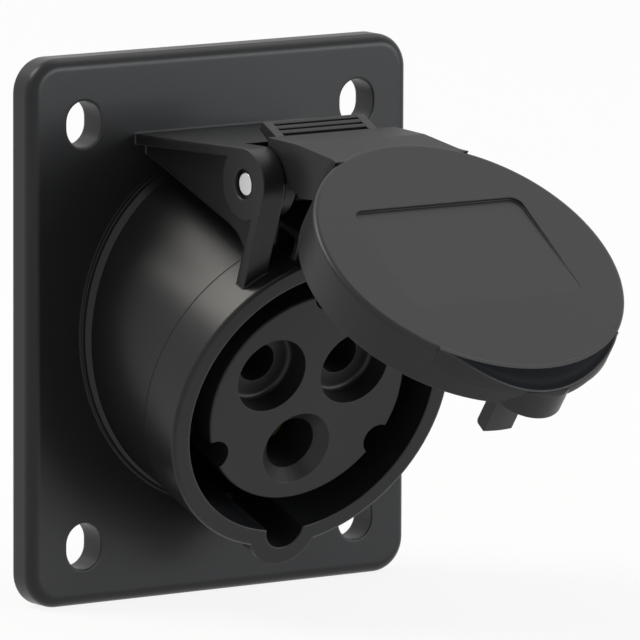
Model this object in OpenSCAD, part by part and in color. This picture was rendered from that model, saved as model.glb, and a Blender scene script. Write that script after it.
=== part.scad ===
// Industrial panel socket, three pole, 16 A size: a rectangular flange carries a barrel that
// leans down from the panel, and a hinged lid with its own sealing ring covers the mouth.
// The origin is the middle of the four screw slots on the flange's back face. The panel is
// the XZ plane, the socket faces -Y and +Z is up.
//
// Most pieces are drawn in the mouth frame: its origin is the centre of the barrel's mouth,
// X runs across, Y up the mouth and Z out along the barrel's axis. "Behind the mouth" is
// a distance back along that axis. The lid is drawn closed there and then turned open.

/* [Flange] */
// Width of the flange
flange_w = 72; // [68:1:88]
// Height of the flange
flange_h = 87; // [82:1:106]
// Thickness of the flange
flange_t = 5; // [4.5:0.5:6]
// Radius of the flange's four corners
flange_corner = 5.5; // [4:0.5:8]
// Radius of the rounding on the front edge
flange_edge = 1.8; // [1:0.2:2.2]
// How far the flange's middle sits above the middle of the screw slots
flange_lift = 0.5; // [0:0.25:1.5]
// Distance between the screw slots across the flange
screw_dx = 52; // [50:1:60]
// Distance between the screw slots up the flange
screw_dz = 67; // [66:1:80]
// Width of a screw slot
slot_w = 6.6; // [5.4:0.2:6.8]
// Length of a screw slot, which stands upright
slot_l = 7.5; // [7:0.1:8.5]
// Depth of the groove for the flange gasket
gasket_depth = 1.6; // [1:0.1:2.2]
// Width of the flange gasket
gasket_w = 2.2; // [1.6:0.1:2.6]

/* [Barrel] */
// Angle by which the barrel leans down from the flange
barrel_tilt = 20; // [14:1:24]
// Length of the barrel on its axis, from the flange's front to the mouth
barrel_l = 27.4; // [25:0.2:33]
// Inner radius of the shroud that the plug enters
shroud_r = 22.75; // [22.5:0.05:23.2]
// Wall of the barrel at the mouth
barrel_wall = 2.95; // [2.4:0.05:3.6]
// Depth of the collar, back to the fine step in the barrel
collar_l = 8.6; // [6:0.2:11]
// Radius of the keyway groove at the bottom of the shroud
key_r = 3.5; // [3:0.1:3.8]
// Wall round the keyway
key_wall = 2.6; // [2:0.1:3]
// Depth of the shroud, from the mouth to the web that carries the insert
shroud_depth = 36; // [34:0.5:44]
// Thickness of the web
web_t = 4; // [3.5:0.5:5]

/* [Contact insert] */
// Radius of the insert's front
insert_r = 17.95; // [17.5:0.05:18.3]
// How far the insert's face lies behind the mouth
insert_sink = 1.7; // [1:0.1:3]
// Thickness of the insert's rear flange
insert_flange_t = 3.5; // [3:0.5:5]
// Radius of the circle that the three contacts stand on
contact_pcr = 9.05; // [8.6:0.05:9.6]
// Radius of the bore in the line and neutral sleeves
pole_bore = 2.55; // [2.51:0.01:2.6]
// Radius of the bore in the earth sleeve
earth_bore = 3.55; // [3.51:0.01:3.6]
// Wall of the contact sleeves
sleeve_wall = 1.2; // [1:0.1:1.4]
// Radius of the recesses in front of the line and neutral contacts
pole_recess = 6.25; // [5.5:0.05:6.6]
// Depth of those recesses
pole_recess_l = 4.5; // [3:0.1:6]
// Radius of the three index notches in the insert's rim
notch_r = 2.6; // [2:0.1:2.8]
// Radius of a wire bore
wire_r = 2.1; // [1.7:0.05:2.3]
// Length of the terminal carrier behind the insert
carrier_l = 17; // [15:0.5:21]

/* [Lid and hinge] */
// Angle by which the lid stands open
lid_open = 74; // [0:1:86]
// Height of the lid's face above the mouth when closed
lid_h = 7.6; // [7:0.1:9]
// Thickness of the lid's top
lid_top = 2.4; // [2.2:0.1:3]
// Height of the sealing ring in the lid
seal_h = 3.1; // [2.4:0.1:3.4]
// Distance of the hinge pin above the barrel's outside
hinge_rise = 9.6; // [9:0.1:12]
// Distance of the hinge pin behind the mouth
hinge_back = 8.4; // [8:0.1:10]
// Radius of the hinge pin
pin_r = 2; // [1.8:0.1:2.4]
// Outer radius of the ears round the pin
ear_r = 5.7; // [5.4:0.1:6]
// Distance from the middle to the ears' inner faces
ear_in = 12.3; // [11.5:0.1:15]
// Thickness of an ear at its rim
ear_t = 4; // [3.4:0.1:4.8]
// Slope of the bracket's roof against the barrel's axis
roof_slope = 22; // [20:0.5:23]

/* [Hidden] */
$fn = 96;

// Clearances: in a seat, on the turning hinge, and beside the lid's neck
fit_gap = 0.1;
turn_gap = 0.06;
side_gap = 0.4;
// Overlap that joins two forms of one moulding, and a length that cuts right through
weld = 0.4;
far = 120;

black = [0.13, 0.13, 0.135];
rubber_black = [0.09, 0.09, 0.09];
brass = [0.80, 0.66, 0.36];
steel = [0.75, 0.76, 0.78];

// Middle of the mouth, as Y and Z
mouth_y = -flange_t - barrel_l * cos(barrel_tilt);
mouth_z = -barrel_l * sin(barrel_tilt);
// Distance behind the mouth at which height u above the axis meets the panel plane y
function back_s(u, y) = (y - mouth_y + u * sin(barrel_tilt)) / cos(barrel_tilt);

barrel_r = shroud_r + barrel_wall;
key_up = -(shroud_r - 0.35);
boss_up = key_up - 0.4;
boss_r = key_r + key_wall;

// Lengths behind the mouth: web, seal, insert flange, end of the sleeve, end of the carrier
seal_t = 1;
web_back = shroud_depth + web_t;
flange_front = web_back + seal_t;
insert_back = flange_front + insert_flange_t;
sleeve_back = insert_back + 2;
carrier_back = insert_back + carrier_l;
insert_flange_r = shroud_r - fit_gap;
carrier_r = insert_r - 0.35;

// Contacts stand at 150, 30 and 270 degrees; the screws of the insert stand between them
line_at = 150;
neutral_at = 30;
earth_at = 270;
between = [90, 210, 330];
insert_screw_pcr = (insert_r + insert_flange_r) / 2;
insert_screw_r = 1.35;
carrier_screw_pcr = insert_r - 4;
carrier_screw_r = 1.4;
carrier_screw_grip = 8;

// Contacts, along their own axis from the insert's face
pole_start = 13;
earth_start = 10;
collar_t = 1.5;
collar_step = 1.6;
terminal_step = 0.5;
terminal_sink = 0.8;
wire_depth = 12.5;
terminal_screw_s = insert_back + 10;
terminal_screw_r = 1.95;
terminal_head_r = 2.7;
terminal_head_t = 1.8;
terminal_cover = 0.75;
terminal_tip = contact_pcr + wire_r + 0.15;
ring_wire = 0.4;
ring_groove = 0.3;
ring_from_tip = 2;

// Hinge, in the mouth frame
hinge_up = barrel_r + hinge_rise;
ear_out = ear_in + ear_t;
ear_relief = 2;
ear_rim = 2;
ear_foot = sqrt(pow(barrel_r, 2) - pow(ear_out, 2)) - 0.5;
ear_front = hinge_back - ear_r;
ear_low = barrel_r + 0.7;
leg_arc_r = 7.5;
leg_arc_s = ear_front + ear_rim + leg_arc_r;
roof_t = 1.8;
roof_front = hinge_back + 7;
roof_top_s = hinge_back + ear_r * sin(roof_slope);
roof_top_u = hinge_up + ear_r * cos(roof_slope);
floor_t = 1.8;
bracket_end = back_s(ear_low, -flange_t * 0.45);
pin_sink = 0.5;
pin_chamfer = 0.3;
function roof_u(s) = roof_top_u - (s - roof_top_s) * tan(roof_slope);

// Spring round the hinge pin
wire_spring = 0.55;
coil_r = pin_r + wire_spring + 0.35;
coil_half = 7;
coil_turns = 9;

// Hoop on the collar that the spring's fixed leg bears on
hoop_w = 8;
hoop_front = 2.2;
hoop_window = 4.8;
hoop_back = hinge_back + coil_r - wire_spring;
hoop_wall = 1;
hoop_inner = 3.5;
hoop_foot = sqrt(pow(barrel_r, 2) - pow(hoop_w, 2));
hoop_top = hoop_foot + hoop_inner + hoop_wall;

// Lid, drawn closed in the mouth frame
lid_r = barrel_r - 0.3;
lid_rim = 0.4;
lid_edge = 0.8;
lip_reach = 2.2;
lip_drop = 2.8;
lip_shift = 6.9;
lip_r = lid_r + lip_reach - lip_shift;
lip_taper = 1.9;
lip_round = 0.6;
lip_lean = 27.5;
lip_rim = lid_h - lip_drop - lip_round + 0.15;
scoop_h = lid_h - lip_drop + lip_reach;
lid_wall = 0.8;
seal_out = lid_r - lid_wall - fit_gap;
seal_in = shroud_r - 1.15;
seal_foot = 0.3;
rib_wall = 1.1;
nose_w = 5.3;
nose_t = 2.4;
nose_reach = 9.2;
nose_round = 0.6;
recess_w = 31.4;
recess_up = 11.6;
recess_low = -10;
recess_depth = 0.5;
recess_corner = 2;
neck_out = ear_in - side_gap;
cheek_t = 1.9;
neck_t = 2.4;
neck_start = sqrt(pow(lid_r, 2) - pow(neck_out, 2));
neck_fillet = 3.5;
knuckle_r = ear_r - 0.4;
chamber_r = coil_r + wire_spring + 0.5;
knuckle_end = 20;
tab_w = 9.5;
tab_bar = 1.5;
tab_reach = 8.7;
tab_front = [5.2, 4.5];
tab_back = 3;
tab_rib = 0.9;

module in_mouth_frame() translate([0, mouth_y, mouth_z]) rotate([90 + barrel_tilt, 0, 0]) children();

module at_pin() translate([0, hinge_up, -hinge_back]) children();

module in_lid_frame() in_mouth_frame()
    at_pin() rotate([-lid_open, 0, 0]) translate([0, -hinge_up, hinge_back]) children();

// Stands an outline drawn as [up, out] across the socket, from x0 to x1
module across(x0, x1) translate([x0, 0, 0]) rotate([90, 0, 90]) linear_extrude(x1 - x0) children();

// Round bar along the barrel's axis, from s0 to s1 behind the mouth
module bar(r, s0, s1) translate([0, 0, -s1]) cylinder(r = r, h = s1 - s0);

// Turns an outline drawn as [radius, distance behind the mouth] about the axis
module turned() mirror([0, 0, 1]) rotate_extrude() children();

// Places its children on a circle round the barrel's axis
module on_circle(angle, r = contact_pcr) rotate([0, 0, angle]) translate([r, 0, 0]) children();

// Lays an outline drawn as [X, Z] parallel to the panel, from y0 forward by t
module on_panel(y0, t) translate([0, y0, 0]) rotate([90, 0, 0]) linear_extrude(t) children();

module rounded_rect(w, h, r) {
    square([w - 2 * r, h], center = true);
    square([w, h - 2 * r], center = true);
    for (x = [-1, 1], y = [-1, 1]) translate([x * (w / 2 - r), y * (h / 2 - r)]) circle(r);
}

// Section of a plate whose two front edges are rounded
module rounded_section(w, t, r) {
    translate([-w / 2, 0]) square([w, t - r]);
    translate([-w / 2 + r, 0]) square([w - 2 * r, t]);
    for (side = [-1, 1]) translate([side * (w / 2 - r), t - r]) circle(r);
}

// Flange: two crossing slabs with rounded front edges, and four turned corners
module flange_plate() translate([0, 0, flange_lift]) {
    straight_w = flange_w - 2 * flange_corner;
    straight_h = flange_h - 2 * flange_corner;
    mirror([0, 1, 0]) linear_extrude(straight_h, center = true)
        rounded_section(flange_w, flange_t, flange_edge);
    mirror([0, 1, 0]) rotate([0, 90, 0]) linear_extrude(straight_w, center = true)
        rounded_section(flange_h, flange_t, flange_edge);
    for (x = [-1, 1], z = [-1, 1])
        translate([x * straight_w / 2, 0, z * straight_h / 2])
            rotate([90, 0, 0]) rotate_extrude() intersection() {
                rounded_section(2 * flange_corner, flange_t, flange_edge);
                square([flange_corner, flange_t]);
            }
}

// Upright screw slots through the flange
module screw_slots()
    for (x = [-1, 1], z = [-1, 1])
        translate([x * screw_dx / 2, 0, z * screw_dz / 2]) on_panel(far / 2, far) {
            for (end = [-1, 1]) translate([0, end * (slot_l - slot_w) / 2]) circle(slot_w / 2);
            square([slot_w, slot_l - slot_w], center = true);
        }

// Ring of the flange gasket, which runs between the screw slots and the panel's cut-out
module gasket_ring(grow) {
    w = screw_dx + 10;
    h = screw_dz + 3;
    corner = 22;
    difference() {
        rounded_rect(w + 2 * grow, h + 2 * grow, corner + grow);
        rounded_rect(w - 2 * gasket_w - 2 * grow, h - 2 * gasket_w - 2 * grow, corner - gasket_w - grow);
    }
}

// Ear seen from the side: leg, boss round the pin, roof line and free lower edge
module ear_outline() difference() {
    union() {
        polygon([[ear_foot, -ear_front], [hinge_up, -ear_front], [hinge_up, -hinge_back],
            [roof_top_u - weld, -roof_top_s], [roof_u(bracket_end) - weld, -bracket_end],
            [ear_low, -bracket_end], [ear_low, -leg_arc_s], [ear_foot, -leg_arc_s]]);
        translate([hinge_up, -hinge_back]) circle(ear_r);
    }
    translate([ear_low - leg_arc_r, -leg_arc_s]) circle(leg_arc_r);
}

// Raised edge of an ear: down the leg and round the pin
module ear_rim_outline() {
    translate([ear_foot, -ear_front - ear_rim]) square([hinge_up - ear_foot, ear_rim]);
    translate([hinge_up, -hinge_back]) circle(ear_r);
}

module ears() for (side = [0, 1]) mirror([side, 0, 0]) {
    across(ear_in, ear_out - ear_relief) ear_outline();
    across(ear_in, ear_out) ear_rim_outline();
}

// Roof over both ears, which starts further back between them
module bracket_roof() difference() {
    across(-ear_out, ear_out) polygon([[roof_top_u, -roof_top_s], [roof_u(bracket_end), -bracket_end],
        [roof_u(bracket_end) - roof_t, -bracket_end], [roof_top_u - roof_t, -roof_top_s]]);
    across(-ear_in, ear_in) translate([0, -roof_front]) square(far);
}

// Floor that closes the hollow bracket toward the barrel
module bracket_floor() across(-ear_in - weld, ear_in + weld)
    polygon([[barrel_r - weld, -leg_arc_s], [barrel_r - weld + floor_t, -leg_arc_s - floor_t],
        [barrel_r - weld + floor_t, -bracket_end], [barrel_r - weld, -bracket_end]]);

module spring_hoop() difference() {
    across(-hoop_w, hoop_w) {
        translate([hoop_foot - weld, -hoop_back])
            square([hoop_inner + hoop_wall + weld - 1, hoop_back - hoop_front]);
        translate([hoop_foot, -hoop_back]) square([hoop_inner + hoop_wall, hoop_back - hoop_front - 1]);
        translate([hoop_top - 1, -hoop_front - 1]) circle(1);
    }
    across(-far, far) translate([hoop_foot + hoop_inner / 2, -hoop_front - hoop_wall - hoop_window / 2])
        rounded_rect(hoop_inner, hoop_window, 0.8);
}

// Outside of the barrel: collar with a softened lip, a fine step, then a body that widens back
module barrel_outside() {
    lip = 0.6;
    step = 0.2;
    turned() {
        translate([0, lip]) square([barrel_r, collar_l - lip]);
        square([barrel_r - lip, lip + weld]);
        intersection() { translate([barrel_r - lip, lip]) circle(lip); square(barrel_r); }
        polygon([[0, collar_l], [barrel_r - step, collar_l], [barrel_r + step, sleeve_back], [0, sleeve_back]]);
    }
    translate([0, boss_up, 0]) bar(boss_r, 0, sleeve_back);
}

// Low bead where the barrel leaves the flange
module root_bead() intersection() {
    bead_w = 1;
    bead_h = 0.6;
    in_mouth_frame() bar(barrel_r + bead_w, 0, sleeve_back + 10);
    translate([-far / 2, -flange_t - bead_h, -far / 2]) cube([far, bead_h + weld, far]);
}

module housing() color(black) difference() {
    union() {
        flange_plate();
        root_bead();
        in_mouth_frame() {
            barrel_outside();
            ears();
            bracket_roof();
            bracket_floor();
            spring_hoop();
        }
    }
    screw_slots();
    on_panel(1, gasket_depth + 1) gasket_ring(fit_gap);
    in_mouth_frame() {
        bar(shroud_r, -1, shroud_depth);
        translate([0, key_up, 0]) bar(key_r, -1, shroud_depth);
        bar(insert_r + fit_gap, -1, far);
        bar(shroud_r, web_back, far);
        at_pin() {
            rotate([0, 90, 0]) cylinder(r = pin_r + 0.02, h = far, center = true);
            for (side = [-1, 1])
                translate([side * ear_out, 0, 0]) rotate([0, 90, 0])
                    cylinder(r = pin_r + 0.35, h = 2.4, center = true);
        }
        for (a = between) on_circle(a, insert_screw_pcr)
            bar(insert_screw_r + 0.02, shroud_depth + 1, web_back + 1);
    }
}

module flange_gasket() color(rubber_black) on_panel(0, gasket_depth) gasket_ring(0);

// Recess and entry hole in front of the line and neutral contacts
module pole_entry() turned() {
    floor_s = insert_sink + pole_recess_l;
    edge = 0.85;
    square([pole_recess - edge, floor_s]);
    square([pole_recess, floor_s - edge]);
    translate([pole_recess - edge, floor_s - edge]) circle(edge);
    square([pole_bore + 0.65, insert_back]);
}

// Funnel and entry hole in front of the earth contact
module earth_entry() turned() {
    mouth_r = earth_bore + 2.6;
    hole_r = earth_bore + 0.78;
    polygon([[0, 0], [mouth_r, 0], [mouth_r, insert_sink], [hole_r, insert_sink + 1.9],
        [hole_r, insert_back], [0, insert_back]]);
}

// Space that a contact's sleeve and collar take in the insert
module contact_seat(bore, start) {
    sleeve = bore + sleeve_wall;
    bar(sleeve + 0.95, insert_sink + start, insert_back + 1);
    bar(sleeve + collar_step + fit_gap, insert_back - collar_t, insert_back + 1);
}

module contact_insert() color(black) in_mouth_frame() difference() {
    edge = 0.4;
    turned() {
        translate([0, insert_sink]) square([insert_r - edge, flange_front - insert_sink + weld]);
        translate([0, insert_sink + edge]) square([insert_r, flange_front - insert_sink]);
        translate([insert_r - edge, insert_sink + edge]) circle(edge);
        translate([0, flange_front]) square([insert_flange_r, insert_flange_t]);
    }
    for (a = between) {
        on_circle(a, insert_r) bar(notch_r, 0, insert_sink + 10);
        on_circle(a, insert_screw_pcr) bar(insert_screw_r + fit_gap, web_back, far);
        on_circle(a, carrier_screw_pcr) bar(carrier_screw_r + 0.02, insert_back - carrier_screw_grip - 0.5, far);
    }
    for (a = [line_at, neutral_at]) on_circle(a) {
        pole_entry();
        contact_seat(pole_bore, pole_start);
    }
    on_circle(earth_at) {
        earth_entry();
        contact_seat(earth_bore, earth_start);
    }
}

module insert_seal() color(rubber_black) in_mouth_frame() difference() {
    bar(insert_flange_r, web_back, flange_front);
    bar(insert_r + fit_gap, 0, far);
    for (a = between) on_circle(a, insert_screw_pcr) bar(insert_screw_r + fit_gap, 0, far);
}

// Rear block that traps the three contacts and holds their terminal screws
module terminal_carrier() color(black) in_mouth_frame() difference() {
    edge = 0.6;
    turned() {
        translate([0, insert_back]) square([carrier_r, carrier_l - edge]);
        translate([0, insert_back]) square([carrier_r - edge, carrier_l]);
        translate([carrier_r - edge, carrier_back - edge]) circle(edge);
    }
    for (end = [[line_at, pole_bore], [neutral_at, pole_bore], [earth_at, earth_bore]]) {
        on_circle(end[0]) bar(terminal_r(end[1]) + fit_gap, 0, far);
        terminal_screw_hole(end[0], terminal_seat(end[1]));
    }
    for (a = between) on_circle(a, carrier_screw_pcr) bar(carrier_screw_r + fit_gap, 0, far);
}

function terminal_r(bore) = bore + sleeve_wall + terminal_step;
function terminal_seat(bore) = contact_pcr + terminal_r(bore) + terminal_cover;

// Radial hole for a terminal screw, with a pocket for its head
module terminal_screw_hole(angle, seat) rotate([0, 0, angle]) translate([0, 0, -terminal_screw_s])
    rotate([0, 90, 0]) {
        translate([0, 0, contact_pcr]) cylinder(r = terminal_screw_r + fit_gap, h = far);
        translate([0, 0, seat]) cylinder(r = terminal_head_r + 0.3, h = far);
    }

// Turned brass contact: slit sleeve for the plug's pin, collar, and terminal with a wire bore
module contact(bore, start, angle) color(brass) in_mouth_frame() difference() {
    tip = insert_sink + start;
    sleeve = bore + sleeve_wall;
    pin_depth = insert_back - collar_t - tip;
    on_circle(angle) difference() {
        union() {
            bar(sleeve, tip, insert_back);
            bar(sleeve + collar_step, insert_back - collar_t, insert_back);
            bar(terminal_r(bore), insert_back, carrier_back - terminal_sink);
        }
        turned() {
            polygon([[0, tip - 1], [bore + 1, tip - 1], [bore + 1, tip], [bore, tip + 1],
                [bore, tip + pin_depth], [0, tip + pin_depth + bore]]);
            translate([sleeve - ring_groove, tip + ring_from_tip]) square([1, 2 * ring_wire + fit_gap]);
        }
        for (turn = [0, 90]) rotate([0, 0, turn])
            translate([-sleeve - 1, -0.35, -tip - pin_depth * 0.55])
                cube([2 * sleeve + 2, 0.7, pin_depth * 0.55 + 1]);
        bar(wire_r, carrier_back - terminal_sink - wire_depth, far);
    }
    rotate([0, 0, angle]) translate([contact_pcr, 0, -terminal_screw_s])
        rotate([0, 90, 0]) cylinder(r = terminal_screw_r + 0.03, h = far);
}

// Open steel ring that keeps a sleeve's fingers closed on the pin
module clip_ring(bore, start, angle) color(steel) in_mouth_frame() on_circle(angle)
    translate([0, 0, -insert_sink - start - ring_from_tip - ring_wire - fit_gap / 2])
        rotate([0, 0, 20]) rotate_extrude(angle = 325)
            translate([bore + sleeve_wall - ring_groove + ring_wire, 0]) circle(ring_wire);

// Slotted screw with a flat head, standing on its tip at the origin
module slotted_screw(r, length, head_r, head_t) difference() {
    union() {
        cylinder(r = r, h = length);
        translate([0, 0, length]) cylinder(r = head_r, h = head_t);
    }
    translate([-far / 2, -0.4, length + head_t * 0.45]) cube([far, 0.8, far]);
}

module terminal_screw(bore, angle) color(steel) in_mouth_frame() rotate([0, 0, angle])
    translate([terminal_tip, 0, -terminal_screw_s]) rotate([0, 90, 0])
        slotted_screw(terminal_screw_r, terminal_seat(bore) - terminal_tip, terminal_head_r, terminal_head_t);

module insert_screws() color(steel) in_mouth_frame() for (a = between)
    on_circle(a, insert_screw_pcr) translate([0, 0, -shroud_depth - 1.2]) rotate([180, 0, 0])
        slotted_screw(insert_screw_r, insert_back - shroud_depth - 1.2, 2.2, 1.7);

module carrier_screws() color(steel) in_mouth_frame() for (a = between)
    on_circle(a, carrier_screw_pcr) translate([0, 0, -insert_back + carrier_screw_grip]) rotate([180, 0, 0])
        slotted_screw(carrier_screw_r, carrier_l + carrier_screw_grip, 2.6, 1.8);

// Outline of the sealing ring in the lid, with the pad that covers the keyway
module seal_outline(grow) difference() {
    union() {
        circle(seal_out + grow);
        translate([0, boss_up]) circle(boss_r - lid_wall - fit_gap + grow);
    }
    circle(seal_in - grow);
}

// Lip at the lid's free edge: a wider arc that leans out to a rolled rim, with a hollow
// scoop between that rim and the face for the finger
module lid_lip() translate([0, -lip_shift, 0]) rotate_extrude() {
    difference() {
        polygon([[0, lid_rim], [lip_r - lip_taper, lid_rim],
            [lip_r - lip_round + lip_round * cos(lip_lean), lip_rim - lip_round * sin(lip_lean)],
            [lip_r - lip_round, lip_rim], [lip_r - lip_round, scoop_h], [0, scoop_h]]);
        translate([lip_r, scoop_h]) circle(lip_reach);
    }
    translate([lip_r - lip_round, lip_rim]) circle(lip_round);
}

// Neck from the side, drawn as [up, out]: it falls from the lid's face to the knuckle
module neck_outline() {
    polygon([[neck_start, lid_h - 0.05], [hinge_up - 3.1, 2.3], [hinge_up + 3.7, 6.1 - hinge_back],
        [hinge_up, -hinge_back], [hinge_up - 4.9, 3.9 - hinge_back], [barrel_r + 1.2, -4.2],
        [barrel_r - 1.4, -2.1], [barrel_r - 1.4, lid_rim], [neck_start, lid_rim]]);
    translate([hinge_up, -hinge_back]) circle(knuckle_r);
}

// Fillets in the corners between the neck's sides and the disc, as high as the neck is there
module neck_fillets() {
    side = neck_out + neck_fillet;
    up = sqrt(pow(lid_r + neck_fillet, 2) - pow(side, 2));
    touch = [side, up] * lid_r / (lid_r + neck_fillet);
    intersection() {
        across(-side, side) neck_outline();
        for (turn = [0, 1]) mirror([turn, 0, 0]) translate([0, 0, lid_rim]) linear_extrude(lid_h) difference() {
            polygon([[neck_out - 1, neck_start - 2], touch, [side, up], [neck_out - 1, up]]);
            translate([side, up]) circle(neck_fillet);
        }
    }
}

// Hollow of the neck between its two cheeks, which holds the spring
module neck_hollow() {
    behind = [cos(knuckle_end), sin(knuckle_end)] * 2 * knuckle_r;
    polygon([[neck_start, -far], [neck_start, lid_rim], [lid_r, lid_rim], [lid_r, lid_h - 4.35],
        [hinge_up - 3.1, 2.3 - neck_t - 0.4], [hinge_up + 0.7, chamber_r + 0.3 - hinge_back],
        [hinge_up, -hinge_back], [hinge_up + behind[0], -hinge_back - behind[1]], [hinge_up, -far]]);
    translate([hinge_up, -hinge_back]) circle(chamber_r);
}

// Tab over the knuckle that stops the lid on the roof, with ribs for the thumb
module tab_outline(front) polygon([[hinge_up + 3, 5 - hinge_back], [hinge_up + 4.4, front[0] - hinge_back],
    [hinge_up + tab_reach, front[1] - hinge_back], [hinge_up + tab_reach, tab_back - hinge_back],
    [hinge_up + 3, tab_back - hinge_back]]);

module stop_tab() {
    across(-tab_w, tab_w) tab_outline([tab_front[0] - tab_rib, tab_front[1] - tab_rib]);
    for (side = [0, 1]) mirror([side, 0, 0]) across(tab_w - tab_bar, tab_w) tab_outline(tab_front);
    for (i = [0:2]) {
        up = 5.5 + i * 1.3;
        across(-tab_w, tab_w) translate([hinge_up + up, tab_back - hinge_back])
            square([0.65, tab_front[0] - 0.16 * (up - 4.4) - tab_back - 0.1]);
    }
}

// Shallow tapering panel on the lid's face, deepest toward the hinge
module face_recess() {
    slope = atan(recess_depth / (recess_up - recess_low));
    middle = (recess_up + recess_low) / 2;
    translate([0, recess_low, lid_h]) rotate([-slope, 0, 0])
        translate([0, middle - recess_low, 0]) linear_extrude(5)
            rounded_rect(recess_w, (recess_up - recess_low) / cos(slope), recess_corner);
}

// Nose under the lid's free edge that enters the shroud above the keyway
module lid_nose() intersection() {
    out = seal_in - 0.15;
    union() {
        translate([-nose_w / 2, -out, -nose_reach + nose_round])
            cube([nose_w, nose_t, nose_reach - nose_round + lid_h - lid_top + weld]);
        translate([-nose_w / 2, -out, -nose_reach]) cube([nose_w, nose_t - nose_round, nose_reach]);
        translate([-nose_w / 2, -out + nose_t - nose_round, -nose_reach + nose_round])
            rotate([0, 90, 0]) cylinder(r = nose_round, h = nose_w);
    }
    translate([0, 0, -far / 2]) cylinder(r = out, h = far);
}

module lid() color(black) in_lid_frame() difference() {
    union() {
        difference() {
            union() {
                translate([0, 0, lid_rim]) rotate_extrude() {
                    square([lid_r, lid_h - lid_rim - lid_edge]);
                    square([lid_r - lid_edge, lid_h - lid_rim]);
                    translate([lid_r - lid_edge, lid_h - lid_rim - lid_edge]) circle(lid_edge);
                }
                translate([0, boss_up, lid_rim]) cylinder(r = boss_r, h = lid_h - lid_rim - lip_drop);
                lid_lip();
                neck_fillets();
                difference() {
                    across(-neck_out, neck_out) neck_outline();
                    across(-neck_out + cheek_t, neck_out - cheek_t) neck_hollow();
                }
            }
            translate([0, 0, -1]) cylinder(r = seal_in - rib_wall - fit_gap, h = 1 + lid_h - lid_top);
            translate([0, 0, -1]) linear_extrude(1 + seal_foot + seal_h) seal_outline(fit_gap);
        }
        stop_tab();
        lid_nose();
    }
    face_recess();
    at_pin() rotate([0, 90, 0]) cylinder(r = pin_r + turn_gap, h = far, center = true);
}

module lid_gasket() color(rubber_black) in_lid_frame()
    translate([0, 0, seal_foot]) linear_extrude(seal_h) seal_outline(0);

module hinge_pin() color(steel) in_mouth_frame() at_pin() rotate([0, 90, 0]) {
    half = ear_out - pin_sink;
    cylinder(r = pin_r, h = 2 * (half - pin_chamfer), center = true);
    for (side = [0, 1]) mirror([0, 0, side]) translate([0, 0, half - pin_chamfer])
        cylinder(r1 = pin_r, r2 = pin_r - pin_chamfer, h = pin_chamfer);
}

// Middle of the spring's wire, as points [x, out, up] about the pin. It rises behind the hoop,
// winds round the pin and leaves toward the underside of the lid's neck.
leg_reach = [lid_h - 4.35 - 1.9 + hinge_back, lid_r + 2.1 - hinge_up];
leg_long = norm(leg_reach);
leg_angle = atan2(leg_reach[1], leg_reach[0]) + lid_open;
leave_angle = leg_angle + acos(coil_r / leg_long);
wind = 180 - leave_angle + 360 * coil_turns;
wind_steps = ceil(wind / 20);
function coil_point(i) = let (t = i / wind_steps, a = 180 - wind * t)
    [-coil_half + 2 * coil_half * t, coil_r * cos(a), coil_r * sin(a)];
spring_path = concat([[-coil_half, -coil_r, barrel_r + 1 - hinge_up]],
    [for (i = [0:wind_steps]) coil_point(i)],
    [[coil_half, leg_long * cos(leg_angle), leg_long * sin(leg_angle)]]);

// Ring of points round the wire at point i of a path that lies nearly square to X
function wire_ring(path, i, sides) = let (
    a = path[max(i - 1, 0)], b = path[min(i + 1, len(path) - 1)],
    t = [b[1] - a[1], b[2] - a[2]] / norm([b[1] - a[1], b[2] - a[2]]))
    [for (k = [0:sides - 1]) let (c = wire_spring * cos(360 * k / sides), d = wire_spring * sin(360 * k / sides))
        [path[i][0] + c, path[i][2] + d * t[0], path[i][1] - d * t[1]]];

module lid_spring() color(steel) in_mouth_frame() at_pin() {
    sides = 8;
    rings = len(spring_path);
    polyhedron(
        points = [for (i = [0:rings - 1]) each wire_ring(spring_path, i, sides)],
        faces = concat(
            [[for (k = [0:sides - 1]) k]],
            [for (i = [0:rings - 2], k = [0:sides - 1]) let (a = i * sides, b = a + sides, n = (k + 1) % sides)
                [a + k, b + k, b + n, a + n]],
            [[for (k = [sides - 1:-1:0]) (rings - 1) * sides + k]]));
}

housing();
flange_gasket();
contact_insert();
insert_seal();
terminal_carrier();
contact(pole_bore, pole_start, line_at);  // line_contact
contact(pole_bore, pole_start, neutral_at);  // neutral_contact
contact(earth_bore, earth_start, earth_at);  // earth_contact
clip_ring(pole_bore, pole_start, line_at);  // line_clip_ring
clip_ring(pole_bore, pole_start, neutral_at);  // neutral_clip_ring
clip_ring(earth_bore, earth_start, earth_at);  // earth_clip_ring
terminal_screw(pole_bore, line_at);  // line_terminal_screw
terminal_screw(pole_bore, neutral_at);  // neutral_terminal_screw
terminal_screw(earth_bore, earth_at);  // earth_terminal_screw
insert_screws();
carrier_screws();
lid();
lid_gasket();
hinge_pin();
lid_spring();
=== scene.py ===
from math import acos, atan2, cos, degrees, hypot, pi, radians, sin

import bmesh
import bpy
from mathutils import Matrix, Vector


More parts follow.
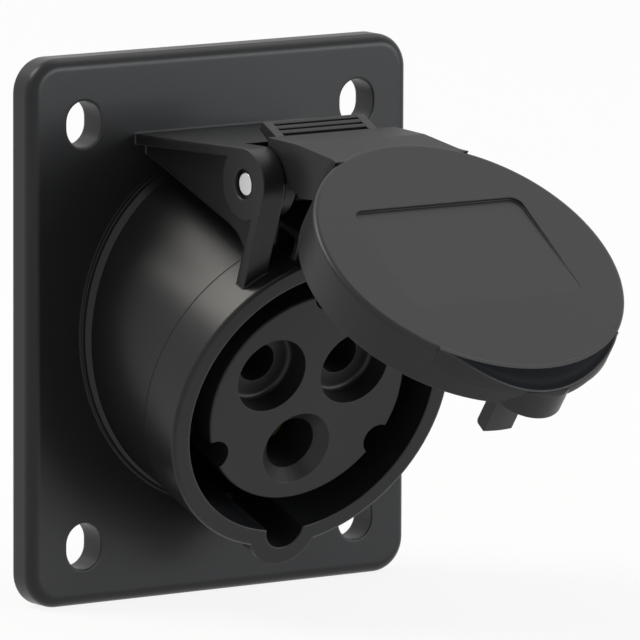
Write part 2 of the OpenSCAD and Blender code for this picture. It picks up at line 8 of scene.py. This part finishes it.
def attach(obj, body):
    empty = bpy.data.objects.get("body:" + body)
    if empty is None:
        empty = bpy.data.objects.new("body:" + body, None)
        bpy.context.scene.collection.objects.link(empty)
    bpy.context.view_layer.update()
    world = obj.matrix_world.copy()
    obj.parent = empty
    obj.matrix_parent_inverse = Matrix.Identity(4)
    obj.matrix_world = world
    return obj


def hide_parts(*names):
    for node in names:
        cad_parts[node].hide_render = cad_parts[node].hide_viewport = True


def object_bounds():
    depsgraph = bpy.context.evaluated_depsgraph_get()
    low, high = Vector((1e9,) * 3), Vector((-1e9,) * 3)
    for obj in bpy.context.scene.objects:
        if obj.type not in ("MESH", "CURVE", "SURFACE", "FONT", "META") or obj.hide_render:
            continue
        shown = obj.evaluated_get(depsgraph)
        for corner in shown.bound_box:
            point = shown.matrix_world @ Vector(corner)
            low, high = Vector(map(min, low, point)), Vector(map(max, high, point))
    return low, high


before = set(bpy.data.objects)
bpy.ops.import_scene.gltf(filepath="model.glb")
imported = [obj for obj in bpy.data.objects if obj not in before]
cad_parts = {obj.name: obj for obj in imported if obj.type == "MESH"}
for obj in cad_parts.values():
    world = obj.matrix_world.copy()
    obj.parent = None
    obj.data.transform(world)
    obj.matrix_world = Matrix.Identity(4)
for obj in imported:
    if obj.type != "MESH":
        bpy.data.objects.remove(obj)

cad_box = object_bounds()
scene = bpy.context.scene


# Camera. The photograph was taken with a long lens from the socket's left and a little above
# it, so the flange shows almost no perspective. The camera aims close to the middle of the
# screw slots, and its focal length is in pixels of the 640 pixel frame.
turned_left = radians(-34.70)
raised = radians(8.35)
rolled = radians(0.21)
distance = 1.711
focal_px = 10779
frame_px = 640
sensor_mm = 36
far_limit = 20
aside = 0.01852
lowered = 0.00015
level_right = Vector((cos(turned_left), sin(turned_left), 0))
backward = Vector((sin(turned_left) * cos(raised), -cos(turned_left) * cos(raised), sin(raised)))
level_up = backward.cross(level_right)
right = level_right * cos(rolled) + level_up * sin(rolled)
up = level_up * cos(rolled) - level_right * sin(rolled)
camera = bpy.data.objects.new("camera", bpy.data.cameras.new("camera"))
camera.data.sensor_width = sensor_mm
camera.data.lens = focal_px / frame_px * sensor_mm
camera.data.clip_end = far_limit
standing = backward * distance + right * aside - up * lowered
looking = Matrix((right, up, backward)).transposed().to_4x4()
camera.matrix_world = Matrix.Translation(standing) @ looking
scene.collection.objects.link(camera)
scene.camera = camera


# Floor. A white sheet of board that the flange's lower edge stands on, which takes the soft
# shadow of the socket. The white paper wall round it is the world. The camera and reflections
# see both as white, and all other light comes at the room's lower level.
floor_half = 3.0
floor_z = cad_box[0][2]
floor_white = (0.9, 0.9, 0.9, 1)
paper_white = (1, 1, 1, 1)
paper_glow = 0.88
room_level = 0.42


def object_from(name, shape_bm):
    mesh = bpy.data.meshes.new(name)
    shape_bm.to_mesh(mesh)
    shape_bm.free()
    shape = bpy.data.objects.new(name, mesh)
    scene.collection.objects.link(shape)
    return shape


def or_reflected(nodes, links, ray, seen):
    for kind in ("Is Glossy Ray", "Is Transmission Ray"):
        either = nodes.new("ShaderNodeMath")
        either.operation = "MAXIMUM"
        links.new(seen, either.inputs[0])
        links.new(ray.outputs[kind], either.inputs[1])
        seen = either.outputs["Value"]
    return seen


floor_bm = bmesh.new()
bmesh.ops.create_grid(floor_bm, x_segments=1, y_segments=1, size=floor_half)
bmesh.ops.translate(floor_bm, verts=floor_bm.verts, vec=(0, 0, floor_z))
floor = object_from("floor", floor_bm)

board = bpy.data.materials.new("white_board")
board.use_nodes = True
nodes = board.node_tree.nodes
links = board.node_tree.links
matte = nodes["Principled BSDF"]
matte.inputs["Base Color"].default_value = floor_white
matte.inputs["Roughness"].default_value = 0.9
matte.inputs["Specular IOR Level"].default_value = 0.1
fibres = nodes.new("ShaderNodeTexNoise")
fibres.inputs["Scale"].default_value = 400
fibre_bump = nodes.new("ShaderNodeBump")
fibre_bump.inputs["Strength"].default_value = 0.1
fibre_bump.inputs["Distance"].default_value = 0.0002
places = nodes.new("ShaderNodeTexCoord")
links.new(places.outputs["Object"], fibres.inputs["Vector"])
links.new(fibres.outputs["Fac"], fibre_bump.inputs["Height"])
links.new(fibre_bump.outputs["Normal"], matte.inputs["Normal"])
glow = nodes.new("ShaderNodeEmission")
glow.inputs["Strength"].default_value = 1
ray = nodes.new("ShaderNodeLightPath")
shown = nodes.new("ShaderNodeMath")
shown.operation = "MULTIPLY"
shown.inputs[1].default_value = paper_glow
links.new(ray.outputs["Is Camera Ray"], shown.inputs[0])
mixed = nodes.new("ShaderNodeMixShader")
links.new(or_reflected(nodes, links, ray, shown.outputs["Value"]), mixed.inputs["Fac"])
links.new(matte.outputs["BSDF"], mixed.inputs[1])
links.new(glow.outputs["Emission"], mixed.inputs[2])
links.new(mixed.outputs["Shader"], nodes["Material Output"].inputs["Surface"])
floor.data.materials.append(board)

studio = bpy.data.worlds.new("studio")
studio.use_nodes = True
scene.world = studio
nodes = studio.node_tree.nodes
links = studio.node_tree.links
room = nodes["Background"]
room.inputs["Color"].default_value = paper_white
room.inputs["Strength"].default_value = room_level
paper = nodes.new("ShaderNodeBackground")
paper.inputs["Color"].default_value = paper_white
paper.inputs["Strength"].default_value = 1
ray = nodes.new("ShaderNodeLightPath")
mixed = nodes.new("ShaderNodeMixShader")
links.new(or_reflected(nodes, links, ray, ray.outputs["Is Camera Ray"]), mixed.inputs["Fac"])
links.new(room.outputs["Background"], mixed.inputs[1])
links.new(paper.outputs["Background"], mixed.inputs[2])
links.new(mixed.outputs["Shader"], nodes["World Output"].inputs["Surface"])
scene.view_settings.view_transform = "Standard"


# Lamps. A warm softbox behind the left side draws the broad highlight along the barrel, a faint
# one overhead lights the lid's face, and the flange mirrors a wide cool one at the front right.
# A small black card, hidden from the camera, darkens the reflections on the lid's neck.
lamp_away = 1.6
watts_per_level = 3.1416
flag_half = 0.07
flag_place = Vector((0.36, 0.44, 0.27))
felt_black = (0.02, 0.02, 0.02, 1)


def facing(towards):
    return towards.to_track_quat("Z", "Y").to_matrix().to_4x4()


def softbox(name, direction, wide, high, level, colour):
    lamp = bpy.data.lights.new(name, "AREA")
    lamp.shape = "RECTANGLE"
    lamp.size = wide
    lamp.size_y = high
    lamp.energy = level * wide * high * watts_per_level
    lamp.color = colour
    stand = bpy.data.objects.new(name, lamp)
    towards = Vector(direction).normalized()
    stand.matrix_world = Matrix.Translation(towards * lamp_away) @ facing(towards)
    stand.visible_camera = False
    scene.collection.objects.link(stand)


softbox("key_softbox", direction=(-0.43, 0.43, 0.78), wide=0.75, high=0.75, level=8.6,
        colour=(1.0, 0.97, 0.9))
softbox("top_softbox", direction=(0.57, 0.12, 0.81), wide=1.1, high=1.1, level=0.7,
        colour=(1.0, 1.0, 1.0))
softbox("front_softbox", direction=(0.55, -0.82, 0.06), wide=1.2, high=0.8, level=6.7,
        colour=(0.95, 0.98, 1.0))

flag_bm = bmesh.new()
bmesh.ops.create_grid(flag_bm, x_segments=1, y_segments=1, size=flag_half)
flag = object_from("flag", flag_bm)
flag.matrix_world = Matrix.Translation(flag_place) @ facing(flag_place)
flag.visible_camera = False
flag.visible_shadow = False
felt = bpy.data.materials.new("black_felt")
felt.use_nodes = True
matte = felt.node_tree.nodes["Principled BSDF"]
matte.inputs["Base Color"].default_value = felt_black
matte.inputs["Roughness"].default_value = 1
flag.data.materials.append(felt)


# Housing. One moulding of black glass-filled nylon: the flange, the leaning barrel with its
# collar and keyway, and the saddle bracket that carries the hinge. Its skin is a fine satin
# grain from the tool. Its colour is lighter along the edges, partly as wear where hands and
# panels rub and partly as a painted highlight.
mm_per_m = 1000
nylon_black = (0.0110, 0.0114, 0.0124)


def moulded_plastic(name, colour, roughness, grain_mm, edge_mm, edge_wear_and_highlight_lift):
    material = bpy.data.materials.new(name)
    material.use_nodes = True
    nodes = material.node_tree.nodes
    links = material.node_tree.links
    skin = nodes["Principled BSDF"]
    skin.inputs["IOR"].default_value = 1.33
    places = nodes.new("ShaderNodeTexCoord")
    patches = nodes.new("ShaderNodeTexNoise")
    patches.inputs["Scale"].default_value = 45
    patches.inputs["Detail"].default_value = 5
    links.new(places.outputs["Object"], patches.inputs["Vector"])
    grain = nodes.new("ShaderNodeTexNoise")
    grain.inputs["Scale"].default_value = mm_per_m / grain_mm
    grain.inputs["Detail"].default_value = 3
    links.new(places.outputs["Object"], grain.inputs["Vector"])

    rounded = nodes.new("ShaderNodeBevel")
    rounded.samples = 8
    rounded.inputs["Radius"].default_value = edge_mm / mm_per_m
    relief = nodes.new("ShaderNodeBump")
    relief.inputs["Strength"].default_value = 0.35
    relief.inputs["Distance"].default_value = 0.00001
    links.new(rounded.outputs["Normal"], relief.inputs["Normal"])
    links.new(grain.outputs["Fac"], relief.inputs["Height"])
    links.new(relief.outputs["Normal"], skin.inputs["Normal"])

    flat = nodes.new("ShaderNodeNewGeometry")
    along = nodes.new("ShaderNodeVectorMath")
    along.operation = "DOT_PRODUCT"
    links.new(rounded.outputs["Normal"], along.inputs[0])
    links.new(flat.outputs["Normal"], along.inputs[1])
    edge = nodes.new("ShaderNodeMapRange")
    edge.inputs["From Min"].default_value = 1.0
    edge.inputs["From Max"].default_value = 0.8
    links.new(along.outputs["Value"], edge.inputs["Value"])
    # Edge mask: the base colour is lifted along edges, partly wear and partly a painted
    # highlight.
    wear_and_highlight = nodes.new("ShaderNodeMath")
    wear_and_highlight.operation = "MULTIPLY"
    links.new(edge.outputs["Result"], wear_and_highlight.inputs[0])
    links.new(patches.outputs["Fac"], wear_and_highlight.inputs[1])

    mottle = nodes.new("ShaderNodeMapRange")
    mottle.inputs["From Min"].default_value = 0.3
    mottle.inputs["From Max"].default_value = 0.7
    mottle.inputs["To Min"].default_value = 0.9
    mottle.inputs["To Max"].default_value = 1.1
    links.new(patches.outputs["Fac"], mottle.inputs["Value"])
    tint = nodes.new("ShaderNodeMix")
    tint.data_type = "RGBA"
    tint.inputs["A"].default_value = (*colour, 1)
    tint.inputs["B"].default_value = (*[c * edge_wear_and_highlight_lift for c in colour], 1)
    links.new(wear_and_highlight.outputs["Value"], tint.inputs["Factor"])
    shade = nodes.new("ShaderNodeVectorMath")
    shade.operation = "SCALE"
    links.new(tint.outputs["Result"], shade.inputs[0])
    links.new(mottle.outputs["Result"], shade.inputs["Scale"])
    links.new(shade.outputs["Vector"], skin.inputs["Base Color"])

    sheen_of_skin = nodes.new("ShaderNodeMapRange")
    sheen_of_skin.inputs["From Min"].default_value = 0.3
    sheen_of_skin.inputs["From Max"].default_value = 0.7
    sheen_of_skin.inputs["To Min"].default_value = roughness - 0.02
    sheen_of_skin.inputs["To Max"].default_value = roughness + 0.03
    links.new(patches.outputs["Fac"], sheen_of_skin.inputs["Value"])
    links.new(sheen_of_skin.outputs["Result"], skin.inputs["Roughness"])
    return material


def finish(node, material):
    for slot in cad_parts[node].material_slots:
        slot.material = material


finish("housing", moulded_plastic("housing_nylon", nylon_black, roughness=0.34, grain_mm=0.35,
                                  edge_mm=0.5, edge_wear_and_highlight_lift=4.5))


# Barrel root. The mould has an eased corner round the barrel's foot. This thin cover lies on
# the plain bead there: it is shaded flat like the flange, and then as one slope up to the
# barrel. Its outlines pair a radius round the barrel with a depth behind the panel, in mm.
mouth = Vector((0, -30.7475, -9.371))
across = Vector((1, 0, 0))
lean = radians(20)
barrel_up = Vector((0, -sin(lean), cos(lean)))
inward = Vector((0, cos(lean), sin(lean)))
off_flange = Vector((0, -1, 0))
root_steps = 180
root_flat = ((26.76, -4.9), (26.76, -5.45), (26.6, -5.65), (26.2, -5.66))
root_slope = ((26.2, -5.67), (25.72, -6.7), (25.5, -5.3))
root_outline = root_flat + root_slope


def band(shape_bm, here, there):
    faces = []
    for corner in range(len(here)):
        after = (corner + 1) % len(here)
        corners = (here[corner], here[after], there[after], there[corner])
        faces.append(shape_bm.faces.new(corners))
    return faces


root_bm = bmesh.new()
root_rings = []
for step in range(root_steps):
    turn = 2 * pi * step / root_steps
    root_ring = []
    for radius, depth in root_outline:
        place = mouth + (across * cos(turn) + barrel_up * sin(turn)) * radius
        place += inward * ((depth - place.y) / inward.y)
        root_ring.append(root_bm.verts.new(place / mm_per_m))
    root_rings.append(root_ring)
for step in range(root_steps):
    for face in band(root_bm, root_rings[step], root_rings[(step + 1) % root_steps]):
        face.smooth = True
bmesh.ops.recalc_face_normals(root_bm, faces=root_bm.faces)
root_cover = object_from("root_cover", root_bm)
shaded_as = []
for vertex in root_cover.data.vertices:
    out = vertex.co * mm_per_m - mouth
    out -= inward * out.dot(inward)
    if vertex.index % len(root_outline) < len(root_flat):
        shaded_as.append(off_flange)
    else:
        shaded_as.append((out.normalized() + off_flange).normalized())
root_cover.data.normals_split_custom_set_from_vertices(shaded_as)
root_nylon = moulded_plastic("root_nylon", nylon_black, roughness=0.34, grain_mm=0.35,
                             edge_mm=0, edge_wear_and_highlight_lift=1)
root_cover.data.materials.append(root_nylon)
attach(root_cover, "socket")


# Flange gasket. A ring of black foam rubber pressed into the groove of the flange's back.
# It has a dull open skin with fine pores.
def soft_rubber(name, colour, pore_mm):
    material = bpy.data.materials.new(name)
    material.use_nodes = True
    nodes = material.node_tree.nodes
    links = material.node_tree.links
    skin = nodes["Principled BSDF"]
    skin.inputs["Roughness"].default_value = 0.78
    skin.inputs["Sheen Weight"].default_value = 0.08
    places = nodes.new("ShaderNodeTexCoord")
    pores = nodes.new("ShaderNodeTexVoronoi")
    pores.inputs["Scale"].default_value = mm_per_m / pore_mm
    links.new(places.outputs["Object"], pores.inputs["Vector"])
    relief = nodes.new("ShaderNodeBump")
    relief.inputs["Strength"].default_value = 0.3
    relief.inputs["Distance"].default_value = 0.00004
    links.new(pores.outputs["Distance"], relief.inputs["Height"])
    links.new(relief.outputs["Normal"], skin.inputs["Normal"])
    bloom_lift = 1.7
    bloom = nodes.new("ShaderNodeTexNoise")
    bloom.inputs["Scale"].default_value = 120
    bloom.inputs["Detail"].default_value = 4
    links.new(places.outputs["Object"], bloom.inputs["Vector"])
    tint = nodes.new("ShaderNodeMix")
    tint.data_type = "RGBA"
    tint.inputs["A"].default_value = (*colour, 1)
    tint.inputs["B"].default_value = (*[c * bloom_lift for c in colour], 1)
    links.new(bloom.outputs["Fac"], tint.inputs["Factor"])
    links.new(tint.outputs["Result"], skin.inputs["Base Color"])
    return material


finish("flange_gasket", soft_rubber("foam_rubber", colour=(0.012, 0.012, 0.012), pore_mm=0.5))


# Contact insert. A separate moulding of heat-proof black resin, screwed in from behind. Its
# face is a shade flatter than the housing's, with sharper corners.
finish("contact_insert", moulded_plastic("insert_resin", colour=(0.0150, 0.0150, 0.0150),
                                         roughness=0.4, grain_mm=0.3, edge_mm=0.15,
                                         edge_wear_and_highlight_lift=1.5))


# Insert seal. A flat ring cut from smooth rubber sheet, squeezed between the housing's web
# and the insert's flange.
finish("insert_seal", soft_rubber("seal_rubber", colour=(0.01, 0.01, 0.01), pore_mm=0.3))


# Contacts. Three sleeves turned from brass bar, slit into four fingers at the front, with a
# collar and a terminal behind. The lathe leaves fine rings round the barrel's axis, and the
# brass colour carries painted shade where it lies deep in the holes.
def turned_metal(name, colour, roughness, ring_mm, rotation):
    material = bpy.data.materials.new(name)
    material.use_nodes = True
    nodes = material.node_tree.nodes
    links = material.node_tree.links
    skin = nodes["Principled BSDF"]
    skin.inputs["Metallic"].default_value = 1
    places = nodes.new("ShaderNodeTexCoord")
    axis = nodes.new("ShaderNodeMapping")
    axis.inputs["Rotation"].default_value = rotation
    links.new(places.outputs["Object"], axis.inputs["Vector"])
    parts = nodes.new("ShaderNodeSeparateXYZ")
    links.new(axis.outputs["Vector"], parts.inputs["Vector"])
    rings = nodes.new("ShaderNodeTexNoise")
    rings.noise_dimensions = "1D"
    rings.inputs["Scale"].default_value = mm_per_m / ring_mm
    rings.inputs["Detail"].default_value = 4
    links.new(parts.outputs["Z"], rings.inputs["W"])
    relief = nodes.new("ShaderNodeBump")
    relief.inputs["Strength"].default_value = 0.4
    relief.inputs["Distance"].default_value = 0.000006
    links.new(rings.outputs["Fac"], relief.inputs["Height"])
    rounded = nodes.new("ShaderNodeBevel")
    rounded.samples = 6
    rounded.inputs["Radius"].default_value = 0.0001
    links.new(rounded.outputs["Normal"], relief.inputs["Normal"])
    links.new(relief.outputs["Normal"], skin.inputs["Normal"])
    tarnish_drop = 0.82
    tarnish = nodes.new("ShaderNodeTexNoise")
    tarnish.inputs["Scale"].default_value = 220
    tarnish.inputs["Detail"].default_value = 6
    links.new(places.outputs["Object"], tarnish.inputs["Vector"])
    tint = nodes.new("ShaderNodeMix")
    tint.data_type = "RGBA"
    tint.inputs["A"].default_value = (*colour, 1)
    tint.inputs["B"].default_value = (*[c * tarnish_drop for c in colour], 1)
    links.new(tarnish.outputs["Fac"], tint.inputs["Factor"])
    links.new(tint.outputs["Result"], skin.inputs["Base Color"])
    dulled = nodes.new("ShaderNodeMapRange")
    dulled.inputs["To Min"].default_value = roughness - 0.05
    dulled.inputs["To Max"].default_value = roughness + 0.12
    links.new(tarnish.outputs["Fac"], dulled.inputs["Value"])
    links.new(dulled.outputs["Result"], skin.inputs["Roughness"])
    return material


along_barrel = (radians(90) - lean, 0, 0)
turned_brass = turned_metal("turned_brass", colour=(0.80, 0.58, 0.27), roughness=0.25,
                            ring_mm=0.12, rotation=along_barrel)
nodes = turned_brass.node_tree.nodes
links = turned_brass.node_tree.links
# Painted shade: ambient occlusion darkens the brass colour deep in the holes.
hole_painted_shade = nodes.new("ShaderNodeAmbientOcclusion")
hole_painted_shade.inputs["Distance"].default_value = 0.015
gathered = nodes.new("ShaderNodeMapRange")
gathered.inputs["From Min"].default_value = 0.3
gathered.inputs["From Max"].default_value = 0.7
gathered.inputs["To Min"].default_value = 0.04
links.new(hole_painted_shade.outputs["AO"], gathered.inputs["Value"])
dimmed = nodes.new("ShaderNodeVectorMath")
dimmed.operation = "SCALE"
skin = nodes["Principled BSDF"]
links.new(skin.inputs["Base Color"].links[0].from_socket, dimmed.inputs[0])
links.new(gathered.outputs["Result"], dimmed.inputs["Scale"])
links.new(dimmed.outputs["Vector"], skin.inputs["Base Color"])
for contact in ("line_contact", "neutral_contact", "earth_contact"):
    finish(contact, turned_brass)


# Clip rings. Open rings bent from spring steel wire, one in the groove of each sleeve, which
# press the fingers onto the plug's pin.
spring_steel = turned_metal("spring_steel", colour=(0.56, 0.57, 0.59), roughness=0.3,
                            ring_mm=0.3, rotation=along_barrel)
for ring in ("line_clip_ring", "neutral_clip_ring", "earth_clip_ring"):
    finish(ring, spring_steel)


# Terminal carrier. The rear block of the same resin as the insert. It traps the contacts'
# collars and guides the terminal screws.
finish("terminal_carrier", moulded_plastic("carrier_resin", colour=(0.0165, 0.0165, 0.0165),
                                           roughness=0.45, grain_mm=0.4, edge_mm=0.2,
                                           edge_wear_and_highlight_lift=1.5))


# Screws. Slotted steel screws with a bright zinc coat: one across each terminal, three that
# hold the insert and three that hold the carrier.
zinc = turned_metal("zinc_plate", colour=(0.66, 0.67, 0.69), roughness=0.28,
                    ring_mm=0.25, rotation=along_barrel)
for screws in ("line_terminal_screw", "neutral_terminal_screw", "earth_terminal_screw",
               "insert_screws", "carrier_screws"):
    finish(screws, zinc)


# Hinge pin. A plain bright steel pin pushed through both ears and the lid's cheeks, with a
# small chamfer at each end. It was cut and faced on a lathe.
across_socket = (0, radians(90), 0)
finish("hinge_pin", turned_metal("bright_steel", colour=(0.95, 0.95, 0.94), roughness=0.3,
                                 ring_mm=0.2, rotation=across_socket))


# Lid spring. Nine turns of round spring wire on the hinge pin. One end is held behind the
# hoop on the barrel. The last turn and its arm press up on the lid's neck and follow it, and
# share a quarter turn with the rest so that the coil stays whole. Lengths are in mm.
wire_r = 0.55
wire_corners = 16
coil_r = 2.9
coil_half = 7.0
coil_turns = 9
hinge_place = Vector((0, -34.9275, 26.6728))
held_down = 8.6
arm_out = 9.75
arm_down = 7.8
lid_open = 74
coil_steps = 230
lid_steps = 31
shared_steps = 6
arm_long = hypot(arm_out, arm_down)
arm_angle = lid_open - degrees(atan2(arm_down, arm_out))
leaves_at = arm_angle + degrees(acos(coil_r / arm_long))
wound = 180 - leaves_at + 360 * coil_turns
per_step = radians(wound) / coil_steps
along_pin = (2 * coil_half / coil_steps, 0, 0)
mouth_frame = Matrix((across, barrel_up, -inward)).transposed().to_4x4()
at_pin = Matrix.Scale(1 / mm_per_m, 4) @ Matrix.Translation(hinge_place) @ mouth_frame


def verts_of(geometry):
    return [v for v in geometry if isinstance(v, bmesh.types.BMVert)]


def edges_of(geometry):
    return [e for e in geometry if isinstance(e, bmesh.types.BMEdge)]


def wire_start(spring_bm):
    circle = bmesh.ops.create_circle(spring_bm, cap_ends=False, radius=wire_r,
                                     segments=wire_corners)["verts"]
    bmesh.ops.rotate(spring_bm, verts=circle, matrix=Matrix.Rotation(radians(90), 3, "X"))
    bmesh.ops.translate(spring_bm, verts=circle, vec=(-coil_half, 0, -coil_r))
    return circle


def wind(spring_bm, edges, count):
    turned = bmesh.ops.spin(spring_bm, geom=edges, cent=(0, 0, 0), axis=(1, 0, 0),
                            dvec=along_pin, angle=per_step * count, steps=count)
    return edges_of(turned["geom_last"])


def spring_piece(name, spring_bm):
    bmesh.ops.holes_fill(spring_bm, edges=spring_bm.edges)
    bmesh.ops.recalc_face_normals(spring_bm, faces=spring_bm.faces)
    bmesh.ops.transform(spring_bm, matrix=at_pin, verts=spring_bm.verts)
    for face in spring_bm.faces:
        face.smooth = len(face.verts) == 4
    piece = object_from(name, spring_bm)
    piece.data.materials.append(spring_steel)
    return piece


held_bm = bmesh.new()
bmesh.ops.translate(held_bm, verts=wire_start(held_bm), vec=(0, -held_down, 0))
lead = bmesh.ops.extrude_edge_only(held_bm, edges=list(held_bm.edges))["geom"]
bmesh.ops.translate(held_bm, verts=verts_of(lead), vec=(0, held_down, 0))
wind(held_bm, edges_of(lead), coil_steps - lid_steps + shared_steps)
wound_spring = spring_piece("wound_spring", held_bm)
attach(wound_spring, "socket")
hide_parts("lid_spring")

arm_bm = bmesh.new()
wire_start(arm_bm)
ring = wind(arm_bm, list(arm_bm.edges), coil_steps - lid_steps)
kept = {v for e in ring for v in e.verts}
bmesh.ops.delete(arm_bm, geom=[v for v in arm_bm.verts if v not in kept], context="VERTS")
ring = wind(arm_bm, list(arm_bm.edges), lid_steps)
arm = bmesh.ops.extrude_edge_only(arm_bm, edges=ring)["geom"]
leaving = radians(leaves_at)
arm_end = Vector((0, arm_long * sin(radians(arm_angle)) - coil_r * sin(leaving),
                  arm_long * cos(radians(arm_angle)) - coil_r * cos(leaving)))
bmesh.ops.translate(arm_bm, verts=verts_of(arm), vec=arm_end)
spring_arm = spring_piece("spring_arm", arm_bm)
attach(spring_arm, "lid")


# Lid. A second moulding of the housing's nylon: a disc with a skirt, the lip that a thumb
# lifts, and the neck with its cheeks and stop tab. Its face is handled most, so it has worn
# a slightly lighter grey.
lid_nylon = moulded_plastic("lid_nylon", colour=(0.0160, 0.0162, 0.0164), roughness=0.38,
                            grain_mm=0.35, edge_mm=0.2, edge_wear_and_highlight_lift=3)
finish("lid", lid_nylon)


# Lip hollow. The lip is scooped out below the lid's sharp free edge, with a rim that falls to
# its lowest place in the middle. One skin draws that scoop, and a second the lip's side below
# it. Both lie on the plain lip, and are drawn in mm from the disc's middle and face.
lid_tilt = radians(36)
lid_up = Vector((0, cos(lid_tilt), sin(lid_tilt)))
lid_out = Vector((0, -sin(lid_tilt), cos(lid_tilt)))
hinge_up = 35.3
hinge_back = 8.4
lid_h = 7.6
lift = 0.01
tucked_r = 24.5
face_r = 25.38
edge_least = 0.02
rim_top = (0.14, 0.05)
rim_outer = (0.24, 0.2)
lip_shift = 6.9
rim_r = 20.5
wall_r = 20.78
wall_drop = 3.3
foot_r = 18.85
foot_drop = 7.15
inside_r = 25
skirt_r = 25.25
side_wall = 0.25
scoop_drop = 2.6
scoop_power = 1.5
scoop_half = 36
lip_half = 41
lip_steps = 82
scoop_steps = 8


def lip_reaches(angle, radius):
    return lip_shift * cos(angle) + (radius ** 2 - (lip_shift * sin(angle)) ** 2) ** 0.5


def lid_point(angle, radius, height):
    aside_of_hinge = hinge_place + across * radius * sin(angle)
    along_lid = lid_up * (-radius * cos(angle) - hinge_up)
    return (aside_of_hinge + (along_lid + lid_out * (lid_h + height + hinge_back))) / mm_per_m


lip_bm = bmesh.new()
side_bm = bmesh.new()
lip_rows = []
side_rows = []
side_normals = []
for step in range(lip_steps + 1):
    degree = lip_half * (2 * step / lip_steps - 1)
    angle = radians(degree)
    from_middle = radians(90 * min(abs(degree) / scoop_half, 1))
    fall = scoop_drop * max(cos(from_middle), 0) ** scoop_power
    edge_r = max(face_r + edge_least, lip_reaches(angle, rim_r))
    outer_r = lip_reaches(angle, wall_r)
    outline = [(tucked_r, lift), (face_r, lift)]
    for part in range(1, scoop_steps + 1):
        quarter = radians(90 * part / scoop_steps)
        scoop_r = face_r + (edge_r - face_r) * (1 - cos(quarter))
        outline.append((scoop_r, lift - fall * sin(quarter)))
    outline.append((edge_r + rim_top[0], -fall - rim_top[1]))
    outline.append((max(edge_r + rim_outer[0], outer_r), -fall - rim_outer[1]))
    outline.append((outer_r, -wall_drop))
    outline.append((inside_r, -wall_drop))
    lip_rows.append([lip_bm.verts.new(lid_point(angle, *corner)) for corner in outline])
    top_r = outer_r + lift
    low_r = max(lip_reaches(angle, foot_r), skirt_r)
    side_outline = ((top_r, -wall_drop), (low_r, -foot_drop),
                    (low_r - side_wall, -foot_drop), (top_r - side_wall, -wall_drop))
    side_rows.append([side_bm.verts.new(lid_point(angle, *corner)) for corner in side_outline])
    side_normals += [across * sin(angle) - lid_up * cos(angle)] * len(side_outline)
for step in range(lip_steps):
    here = lip_rows[step]
    there = lip_rows[step + 1]
    for part, face in enumerate(band(lip_bm, here, there)):
        face.smooth = part < len(here) - 2
        face.material_index = 1 if 1 <= part <= scoop_steps else 0
    lip_bm.edges.get((here[1], there[1])).smooth = False
    for part, face in enumerate(band(side_bm, side_rows[step], side_rows[step + 1])):
        face.smooth = part == 0
for shape_bm, rows in ((lip_bm, lip_rows), (side_bm, side_rows)):
    shape_bm.faces.new(rows[0])
    shape_bm.faces.new(rows[-1])
    bmesh.ops.recalc_face_normals(shape_bm, faces=shape_bm.faces)
lip_hollow = object_from("lip_hollow", lip_bm)
# The scoop's skin is a darker, bluer, less glossy copy of the lid's nylon: painted shade.
scooped = moulded_plastic("scoop_nylon_painted_shade", colour=(0.0095, 0.0102, 0.0122), roughness=0.5,
                          grain_mm=0.35, edge_mm=0, edge_wear_and_highlight_lift=1)
scooped.node_tree.nodes["Principled BSDF"].inputs["IOR"].default_value = 1.12
lip_hollow.data.materials.append(lid_nylon)
lip_hollow.data.materials.append(scooped)
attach(lip_hollow, "lid")

lip_side = object_from("lip_side", side_bm)
lip_side.data.normals_split_custom_set_from_vertices(side_normals)
lip_side.data.materials.append(lid_nylon)
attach(lip_side, "lid")


# Lid gasket. A ring of soft rubber glued into the lid's groove, with a pad that covers the
# keyway when the lid shuts.
finish("lid_gasket", soft_rubber("lid_seal_rubber", colour=(0.011, 0.011, 0.011), pore_mm=0.4))
